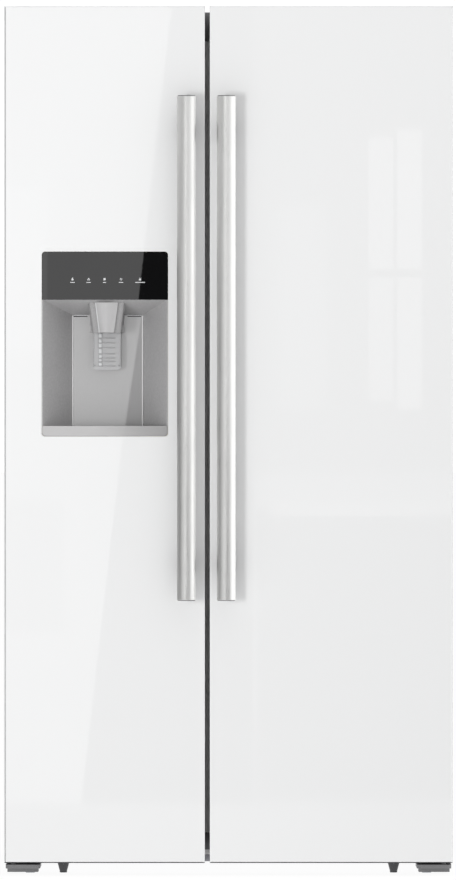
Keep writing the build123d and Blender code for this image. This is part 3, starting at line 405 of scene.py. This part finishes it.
# White beads down the plate's sides: painted highlights of its edges
for number, (side, girth) in enumerate(((-1, 0.0013), (1, 0.0015))):
    x = middle_x + side * half_back + 0.001
    sweep("niche_highlight_bead_%d" % number,
          [(x, back_y - 0.0014, tray_high.z + 0.0006), (x, back_y - 0.0014, back_top - 0.002)],
          girth, "bead", "freezer_door", 10, 0)

# Spout: a crowned bright face in front of the cone
face = bmesh.new()
rows = []
top_z = spout_high.z - 0.0022
for up in range(13):
    share = up / 12
    z = spout_low.z + 0.0004 + (top_z - spout_low.z - 0.0004) * share
    half = 0.0148 + (0.0232 - 0.0148) * share
    row = []
    for across in range(25):
        t = across / 12 - 1
        y = spout_low.y - 0.0002 - 0.0058 * (1 - t * t)
        row.append(face.verts.new((middle_x + 0.0004 + half * t, y, z)))
    rows.append(row)
for low_row, high_row in zip(rows, rows[1:]):
    for a in range(24):
        face.faces.new((low_row[a], low_row[a + 1], high_row[a + 1], high_row[a]))
place("spout_face", face, "spout_face", "freezer_door", smooth=True)
sweep("spout_highlight", [(middle_x - 0.0146, spout_low.y - 0.0004, spout_low.z + 0.001),
                          (middle_x - 0.0222, spout_low.y - 0.0004, top_z - 0.001)],
      0.0010, "print_and_highlight_white", "freezer_door", 8, 0)

# Paddle: ribs with painted shadow strips under them, an upright bead broken by the ribs and lightened as a
# painted highlight, corner pins
front = paddle_low.y - 0.0002
mid = (paddle_low.x + paddle_high.x) / 2
rib_z = [paddle_low.z + step for step in (0.0075, 0.0165, 0.0235, 0.0325, 0.0445, 0.0545, 0.0645)]
spans = [((mid - 0.0185, front - 0.0010, z), (mid + 0.0170, front + 0.0008, z + 0.0012)) for z in rib_z]
boxes("paddle_ribs", spans, "paddle", "dispenser_paddle", 0.0003)
# Grey strips just under each rib: painted shadow of the ribs
spans = [((mid - 0.0185, front - 0.0004, z - 0.0010), (mid + 0.0170, front + 0.0008, z - 0.0002))
         for z in rib_z]
boxes("paddle_rib_painted_shadows", spans, "niche", "dispenser_paddle", 0.0001)
# Upright bead between the ribs: a raised shape, coloured lighter than the paddle as a painted highlight
spans = []
for z0, z1 in zip(rib_z, rib_z[1:] + [paddle_high.z - 0.012]):
    spans.append(((mid - 0.0165, front - 0.0022, z0 + 0.0014), (mid - 0.0105, front + 0.0006, z1 - 0.0014)))
boxes("paddle_bead", spans, "print_and_highlight_white", "dispenser_paddle", 0.0009)
for number, side in enumerate((-1, 1)):
    x = mid + side * 0.0272
    sweep("paddle_rail_%d" % number,
          [(x, front - 0.0001, paddle_low.z + 0.006), (x, front - 0.0001, paddle_high.z - 0.006)],
          0.0008, "chrome", "dispenser_paddle", 8, 0)
    pin = bmesh.new()
    add_disc(pin, (mid + side * 0.0245, front, paddle_low.z + 0.0095), (0, -1, 0), 0.0009, 0.0006, 14)
    place("paddle_pin_%d" % number, pin, "dark_plastic_and_slot_shade", "dispenser_paddle")

# Door edges: white painted borders beside the glass; the left door's outer one is narrower
for side, body, sign in (("left", "freezer_door", 1), ("right", "fridge_door", -1)):
    glass_low, glass_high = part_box(side + "_door_glass")
    rims = [(glass_high.x, 1, 0.0018), (glass_low.x, -1, 0.0018)]
    spans = []
    for x, out, reach in rims:
        start = x - out * 0.0007
        if out < 0 < sign:
            start = x + out * 0.0011
        ends = sorted((start, x + out * reach))
        spans.append(((ends[0], glass_low.y + 0.00005, glass_low.z - 0.0006),
                      (ends[1], glass_low.y + 0.0006, glass_high.z + 0.0006)))
    spans.append(((glass_low.x - 0.0016, glass_low.y + 0.00005, glass_high.z - 0.0002),
                  (glass_high.x + 0.0016, glass_low.y + 0.0006, glass_high.z + 0.0018)))
    boxes(side + "_glass_edges", spans, "edge_white", body, 0.0001)

# Handles: end plates
for side, body in (("left", "freezer_door"), ("right", "fridge_door")):
    low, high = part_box(side + "_handle")
    inset = 0.0016
    for label, z0, z1 in (("low", low.z - 0.0012, low.z + 0.0004), ("top", high.z - 0.0004, high.z + 0.0012)):
        build = bmesh.new()
        outline = []
        for step in range(13):
            t = step / 12
            x = low.x + inset + (high.x - low.x - 2 * inset) * t
            crown = 1 - (2 * t - 1) ** 2
            outline.append((x, high.y - 0.006 - (high.y - low.y - 0.0076) * crown))
        outline += [(high.x - inset, high.y - inset), (low.x + inset, high.y - inset)]
        base = [build.verts.new((x, y, z0)) for x, y in outline]
        lid = [build.verts.new((x, y, z1)) for x, y in outline]
        build.faces.new(base)
        build.faces.new(lid)
        for index in range(len(outline)):
            other = (index + 1) % len(outline)
            build.faces.new((base[index], base[other], lid[other], lid[index]))
        place(side + "_handle_end_" + label, build, "dark_plastic_and_slot_shade", body, smooth=True)

# Gap between the doors: darker heads at the top and foot of the middle post
frame_low, frame_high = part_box("front_frame")
left_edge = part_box("left_door_glass")[1].x
right_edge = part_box("right_door_glass")[0].x
post_x = ((left_edge + right_edge) / 2 - 0.008, (left_edge + right_edge) / 2 + 0.008)
for name, z0, z1 in (("post_head", frame_high.z - 0.058, frame_high.z),
                     ("post_foot", frame_low.z + 0.010, frame_low.z + 0.045)):
    boxes(name, [((post_x[0], frame_low.y - 0.0010, z0), (post_x[1], frame_low.y, z1))], "bracket", "cabinet",
          0.0003)

# Shelves: front and back trims
for name in sorted(frame["nodes"]):
    if "_shelf_" not in name:
        continue
    low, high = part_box(name)
    back = ((low.x + 0.002, high.y - 0.010, low.z - 0.002),
            (high.x - 0.002, high.y - 0.0002, high.z + 0.004))
    front = ((low.x + 0.002, low.y - 0.002, low.z - 0.002),
             (high.x - 0.002, low.y + 0.010, high.z + 0.0025))
    if name == "freezer_shelf_3":
        # The ice bin reaches round this shelf's front edge
        boxes(name + "_trim", [back], "white_plastic", "cabinet", 0.0012)
        continue
    boxes(name + "_trim", [front, back], "white_plastic", "cabinet", 0.0012)
    strip = ((low.x + 0.006, low.y - 0.0026, low.z), (high.x - 0.006, low.y - 0.0018, high.z + 0.0005))
    boxes(name + "_strip", [strip], "chrome", "cabinet", 0.0003)

# Drawers: front rail and grip edge
for name in ("freezer_drawer_1", "freezer_drawer_2", "crisper_drawer_1", "crisper_drawer_2"):
    low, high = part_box(name)
    mid = (low.x + high.x) / 2
    spans = [((low.x + 0.008, low.y - 0.0015, high.z - 0.012),
              (high.x - 0.008, low.y + 0.001, high.z - 0.002))]
    boxes(name + "_rail", spans, "chrome", name, 0.0006)
    grip = ((mid - 0.066, low.y + 0.0045, high.z - 0.033), (mid + 0.066, low.y + 0.0068, high.z - 0.016))
    boxes(name + "_grip", [grip], "white_plastic", name, 0.0008)

# Door bins: a bright strip along each bin's inner edge
for side, body, levels in (("left", "freezer_door", (0.550, 0.715, 1.520)),
                           ("right", "fridge_door", (0.560, 0.790, 1.020, 1.250, 1.480))):
    low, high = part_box(side + "_door_bins")
    height = 0.095
    spans = []
    for z in levels:
        spans.append(((low.x + 0.012, high.y - 0.0004, z + height - 0.022),
                      (high.x - 0.012, high.y + 0.0010, z + height - 0.012)))
    boxes(side + "_bin_strips", spans, "chrome", body, 0.0004)

# Ice auger in the bin
bin_low, bin_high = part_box("ice_bin")
helix = []
for step in range(0, 121):
    turn = step / 120
    angle = 2 * math.pi * 6 * turn
    helix.append((bin_low.x + 0.124 + 0.030 * math.cos(angle), bin_low.y + 0.085 + turn * 0.325,
                  bin_low.z + 0.075 + 0.030 * math.sin(angle)))
sweep("ice_auger", helix, 0.003, "zinc", "ice_bin", 8, 1)
shaft_x, shaft_z = bin_low.x + 0.124, bin_low.z + 0.075
sweep("auger_shaft", [(shaft_x, bin_low.y + 0.082, shaft_z), (shaft_x, bin_low.y + 0.4205, shaft_z)],
      0.005, "zinc", "ice_bin", 12, 0)

# Back panel: pressed beads, screws and a blank plate
rear_low, rear_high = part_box("rear_panel")
y = rear_high.y
spans = []
for x in (-0.30, -0.10, 0.10, 0.30):
    spans.append(((x - 0.007, y - 0.0002, rear_low.z + 0.14), (x + 0.007, y + 0.0026, rear_high.z - 0.14)))
boxes("rear_beads", spans, "sheet", "cabinet", 0.0026)
spots = []
for z in (0.30, 0.62, 0.94, 1.26, 1.58):
    for x in (rear_low.x + 0.014, rear_high.x - 0.014):
        spots.append((x, y, z))
for x in (-0.3, -0.1, 0.1, 0.3):
    spots.append((x, y, rear_high.z - 0.012))
    spots.append((x, y, rear_low.z + 0.012))
screws("rear_screws", spots, (0, 1, 0), "cabinet")
boxes("rear_plate", [((0.14, y, 0.34), (0.26, y + 0.0005, 0.41))], "fins", "cabinet", 0.0002)

cover_low, cover_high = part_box("machine_cover")
cover_y = rear_high.y
spots = [(x, cover_y, z) for x in (cover_low.x + 0.015, -0.1, 0.02, cover_high.x - 0.015)
         for z in (cover_low.z + 0.012, cover_high.z - 0.012)]
screws("cover_screws", spots, (0, 1, 0), "cabinet", finish="zinc")
spans = [((x - 0.002, cover_y - 0.0002, 0.052), (x + 0.002, cover_y + 0.0022, 0.212)) for x in
         (0.054, 0.094, 0.134, 0.174, 0.214, 0.254, 0.294, 0.334, 0.374)]
boxes("cover_ribs", spans, "dark_plastic_and_slot_shade", "cabinet", 0.0008)

# Hinge covers: two screws on each rear edge
low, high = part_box("hinge_covers")
for number, side in enumerate((-1, 1)):
    spots = [(side * x, high.y, (low.z + high.z) / 2) for x in (0.352, 0.388)]
    screws("hinge_cover_screw_%d" % number, spots, (0, 1, 0), "cabinet", 0.0022)

# Water inlet: thread turns
valve_low, valve_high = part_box("water_valve")
inlet_x = (valve_low.x + valve_high.x) / 2
inlet_z = valve_high.z - 0.026
turns = []
for step in range(0, 181):
    angle = 2 * math.pi * 6 * step / 180
    turns.append((inlet_x + 0.0130 * math.cos(angle), valve_high.y - 0.0135 + 0.0120 * step / 180,
                  inlet_z + 0.0130 * math.sin(angle)))
sweep("inlet_thread", turns, 0.0007, "white_plastic", "cabinet", 6, 0)

# Compressor: seam, pipes, condenser and fan beside it
can_low, can_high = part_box("compressor")
cx = (can_low.x + can_high.x) / 2
cy = (can_low.y + can_high.y) / 2
seam_z = can_low.z + 0.095
SEAM_R = 0.0785
circle = [(cx + SEAM_R * math.cos(math.radians(a)), cy + SEAM_R * math.sin(math.radians(a)), seam_z)
          for a in range(0, 361, 6)]
sweep("compressor_seam", circle, 0.0022, "enamel", "cabinet", 8, 0)
sweep("suction_pipe", [(cx - 0.05, cy + 0.062, seam_z - 0.03), (cx - 0.05, cy + 0.088, seam_z - 0.03),
                       (cx - 0.10, cy + 0.09, seam_z + 0.07), (cx - 0.16, cy + 0.05, seam_z + 0.12),
                       (cx - 0.16, cy - 0.05, seam_z + 0.135)], 0.0042, "copper", "cabinet")
sweep("discharge_pipe", [(cx - 0.06, cy - 0.04, seam_z + 0.01), (cx - 0.115, cy - 0.06, seam_z + 0.01),
                         (cx - 0.13, cy - 0.03, seam_z - 0.03), (cx - 0.19, cy - 0.03, seam_z - 0.03)],
      0.0032, "copper", "cabinet")
coil = []
for row in range(8):
    z = 0.045 + row * 0.022
    ends = (-0.14, 0.04) if row % 2 == 0 else (0.04, -0.14)
    coil += [(ends[0], 0.205, z), (ends[1], 0.205, z)]
sweep("condenser_coil", coil, 0.0026, "wire", "cabinet", 8, 2)
spans = [((x, 0.198, 0.040), (x + 0.0007, 0.212, 0.205)) for x in [-0.132 + 0.008 * i for i in range(21)]]
boxes("condenser_fins", spans, "fins", "cabinet", 0.0)
fan = bmesh.new()
for blade in range(7):
    angle = 2 * math.pi * blade / 7
    spin = Matrix.Rotation(angle, 4, "X")
    shift = Matrix.Translation((0.088, 0.24, 0.14))
    tilt = Matrix.Translation((0, 0, 0.030)) @ Matrix.Rotation(math.radians(32), 4, "Z")
    matrix = shift @ spin @ tilt @ Matrix.LocRotScale((0, 0, 0), None, (0.0012, 0.026, 0.048))
    bmesh.ops.create_cube(fan, size=1.0, matrix=matrix)
add_disc(fan, (0.079, 0.24, 0.14), (1, 0, 0), 0.016, 0.018, 24)
place("condenser_fan", fan, "dark_plastic_and_slot_shade", "cabinet")

# Feet: a hexagonal collar
for side in ("left", "right"):
    low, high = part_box("levelling_foot_" + side)
    build = bmesh.new()
    centre = ((low.x + high.x) / 2, (low.y + high.y) / 2, 0.0172)
    add_disc(build, centre, (0, 0, 1), 0.0118, 0.0030, 6)
    place("foot_collar_" + side, build, "bracket", "levelling_foot_" + side)

# Inside: louvres and beads of the air duct
air_low, air_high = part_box("air_duct")
spans = []
for z in (0.640, 0.900, 1.170, 1.440, 1.640):
    for step in range(3):
        x = air_low.x + 0.030 + step * 0.024
        spans.append(((x, air_low.y - 0.0006, z - 0.003), (x + 0.0016, air_low.y + 0.004, z + 0.013)))
boxes("duct_louvres", spans, "white_plastic", "cabinet", 0.0003)
spans = [((air_low.x + 0.012, air_low.y - 0.0008, 0.56), (air_low.x + 0.016, air_low.y + 0.0005, 1.69)),
         ((air_high.x - 0.016, air_low.y - 0.0008, 0.56), (air_high.x - 0.012, air_low.y + 0.0005, 1.69))]
boxes("duct_beads", spans, "chrome", "cabinet", 0.0004)


# ---------------------------------------------------------------- stage
def plain_plane(name, corners, colour, emit=0.0):
    mesh = bpy.data.meshes.new(name)
    mesh.from_pydata(corners, [], [tuple(range(len(corners)))])
    obj = bpy.data.objects.new(name, mesh)
    bpy.context.scene.collection.objects.link(obj)
    material, tree, shader = new_material(name)
    shader.inputs["Base Color"].default_value = (*colour, 1)
    shader.inputs["Roughness"].default_value = 0.9
    if emit:
        shader.inputs["Emission Color"].default_value = (*colour, 1)
        shader.inputs["Emission Strength"].default_value = emit
    mesh.materials.append(material)
    return obj


REACH = 150.0
floor = plain_plane("floor",
                    [(-REACH, -REACH, 0), (REACH, -REACH, 0), (REACH, REACH, 0), (-REACH, REACH, 0)],
                    (0.9, 0.9, 0.9))
floor_shader = floor.data.materials[0].node_tree.nodes["Principled BSDF"]
floor_shader.inputs["Base Color"].default_value = (0.12, 0.12, 0.12, 1)
floor_shader.inputs["Specular IOR Level"].default_value = 0.0
floor_shader.inputs["Emission Color"].default_value = (1, 1, 1, 1)
floor_shader.inputs["Emission Strength"].default_value = 0.93


def backdrop():
    """White surround, seen by the camera only."""
    mesh = bpy.data.meshes.new("backdrop")
    build = bmesh.new()
    bmesh.ops.create_uvsphere(build, u_segments=48, v_segments=24, radius=REACH)
    bmesh.ops.reverse_faces(build, faces=build.faces)
    build.to_mesh(mesh)
    build.free()
    obj = bpy.data.objects.new("backdrop", mesh)
    bpy.context.scene.collection.objects.link(obj)
    material, tree, shader = new_material("backdrop")
    shader.inputs["Base Color"].default_value = (0, 0, 0, 1)
    shader.inputs["Specular IOR Level"].default_value = 0.0
    shader.inputs["Emission Color"].default_value = (1, 1, 1, 1)
    shader.inputs["Emission Strength"].default_value = 1.05
    mesh.materials.append(material)
    for kind in ("diffuse", "glossy", "transmission", "shadow"):
        setattr(obj, "visible_" + kind, False)


backdrop()


def card(name, corners, strength, diffuse=False):
    """A glowing sheet that the camera doesn't see, for reflections in the fronts."""
    obj = plain_plane(name, corners, (0.0, 0.0, 0.0))
    shader = obj.data.materials[0].node_tree.nodes["Principled BSDF"]
    shader.inputs["Emission Color"].default_value = (1, 1, 1, 1)
    shader.inputs["Emission Strength"].default_value = strength
    obj.visible_camera = False
    obj.visible_shadow = False
    obj.visible_diffuse = diffuse
    obj.visible_transmission = False
    return obj


def edge_x(z):
    """Where the soft box's slanting edge shows on the left door, in metres."""
    return -0.1156 - 0.1135 * (1.761 - z)


CARD_AHEAD = 2.4
spread_out = 1 + CARD_AHEAD / CAMERA_DISTANCE
card_y = DOOR_Y - CARD_AHEAD
corners = []
for z in (-0.2, 2.6):
    corners.append((edge_x(z) * spread_out, card_y, CAMERA_HEIGHT + (z - CAMERA_HEIGHT) * spread_out))
low, high = corners
card("soft_box_left", [low, high, (-0.66, card_y, high[2]), (-0.66, card_y, low[2])], 1.8)
card("dark_flag", [low, high, (0.06, card_y, high[2]), (0.06, card_y, low[2])], 0.05)
card("soft_box_right", [(2.6, -2.6, 0.0), (2.6, 0.6, 0.0), (2.6, 0.6, 3.2), (2.6, -2.6, 3.2)], 1.5)
flag_y = card_y - 0.1
low_flag = [(0.07, flag_y, -0.3), (2.2, flag_y, -0.3), (2.2, flag_y, 0.72), (0.07, flag_y, 0.72)]
card("low_flag", low_flag, 0.22)
room = [("window_1", 0.34, 0.40, 1.30, 1.62, 1.7), ("window_2", 0.41, 0.47, 1.30, 1.64, 1.9),
        ("window_3", 0.34, 0.40, 0.98, 1.28, 1.5), ("window_4", 0.41, 0.47, 0.96, 1.28, 1.7),
        ("hood", 0.12, 0.24, 0.96, 1.46, 0.9), ("counter", 0.10, 0.66, 0.70, 0.735, 1.3),
        ("stove", -0.54, -0.40, 0.42, 0.74, 1.3), ("cupboard", -0.54, -0.44, 1.10, 1.50, 2.2)]
for name, x0, x1, z0, z1, glow in room:
    y = card_y + 0.05
    card("room_" + name, [(x0, y, z0), (x1, y, z0), (x1, y, z1), (x0, y, z1)], glow)
for number, (low_z, high_z, glow) in enumerate(((-0.4, 0.9, 0.17), (0.9, 1.36, 0.20), (1.36, 3.0, 0.66))):
    sheet = [(-2.4, -2.2, low_z), (-2.4, 0.6, low_z), (-2.4, 0.6, high_z), (-2.4, -2.2, high_z)]
    card("side_flag_%d" % number, sheet, glow)


def area(name, place, aim, size, power):
    data = bpy.data.lights.new(name, "AREA")
    data.shape = "RECTANGLE"
    data.size, data.size_y = size
    data.energy = power
    obj = bpy.data.objects.new(name, data)
    bpy.context.scene.collection.objects.link(obj)
    obj.location = place
    obj.rotation_euler = (Vector(aim) - Vector(place)).to_track_quat("-Z", "Y").to_euler()
    obj.visible_camera = False
    obj.visible_glossy = False
    return obj


area("key", (-2.7, -5.2, 0.75), (0, -0.3, 0.9), (1.0, 1.6), 98)
area("top", (0.3, -1.5, 4.2), (0, 0, 0.8), (2.5, 2.5), 15)

world = bpy.data.worlds.new("studio")
bpy.context.scene.world = world
world.use_nodes = True
background = world.node_tree.nodes["Background"]
background.inputs["Color"].default_value = (1, 1, 1, 1)
direction = world.node_tree.nodes.new("ShaderNodeTexCoord")
axes = world.node_tree.nodes.new("ShaderNodeSeparateXYZ")
ramp = world.node_tree.nodes.new("ShaderNodeMapRange")
ramp.inputs["From Min"].default_value = -1.0
ramp.inputs["From Max"].default_value = 1.0
ramp.inputs["To Min"].default_value = 0.14
ramp.inputs["To Max"].default_value = 0.86
world.node_tree.links.new(direction.outputs["Generated"], axes.inputs["Vector"])
world.node_tree.links.new(axes.outputs["X"], ramp.inputs["Value"])
world.node_tree.links.new(ramp.outputs["Result"], background.inputs["Strength"])

camera_data = bpy.data.cameras.new("camera")
camera_data.sensor_width = 36
camera_data.lens = 36 * CAMERA_DISTANCE / PICTURE_HEIGHT
camera_data.clip_end = 400
camera = bpy.data.objects.new("camera", camera_data)
bpy.context.scene.collection.objects.link(camera)
camera.location = (-0.001, DOOR_Y - CAMERA_DISTANCE, CAMERA_HEIGHT + 0.002)
camera.rotation_euler = (math.radians(90), 0, 0)
bpy.context.scene.camera = camera
bpy.context.scene.view_settings.view_transform = "Standard"
bpy.context.scene.view_settings.look = "None"
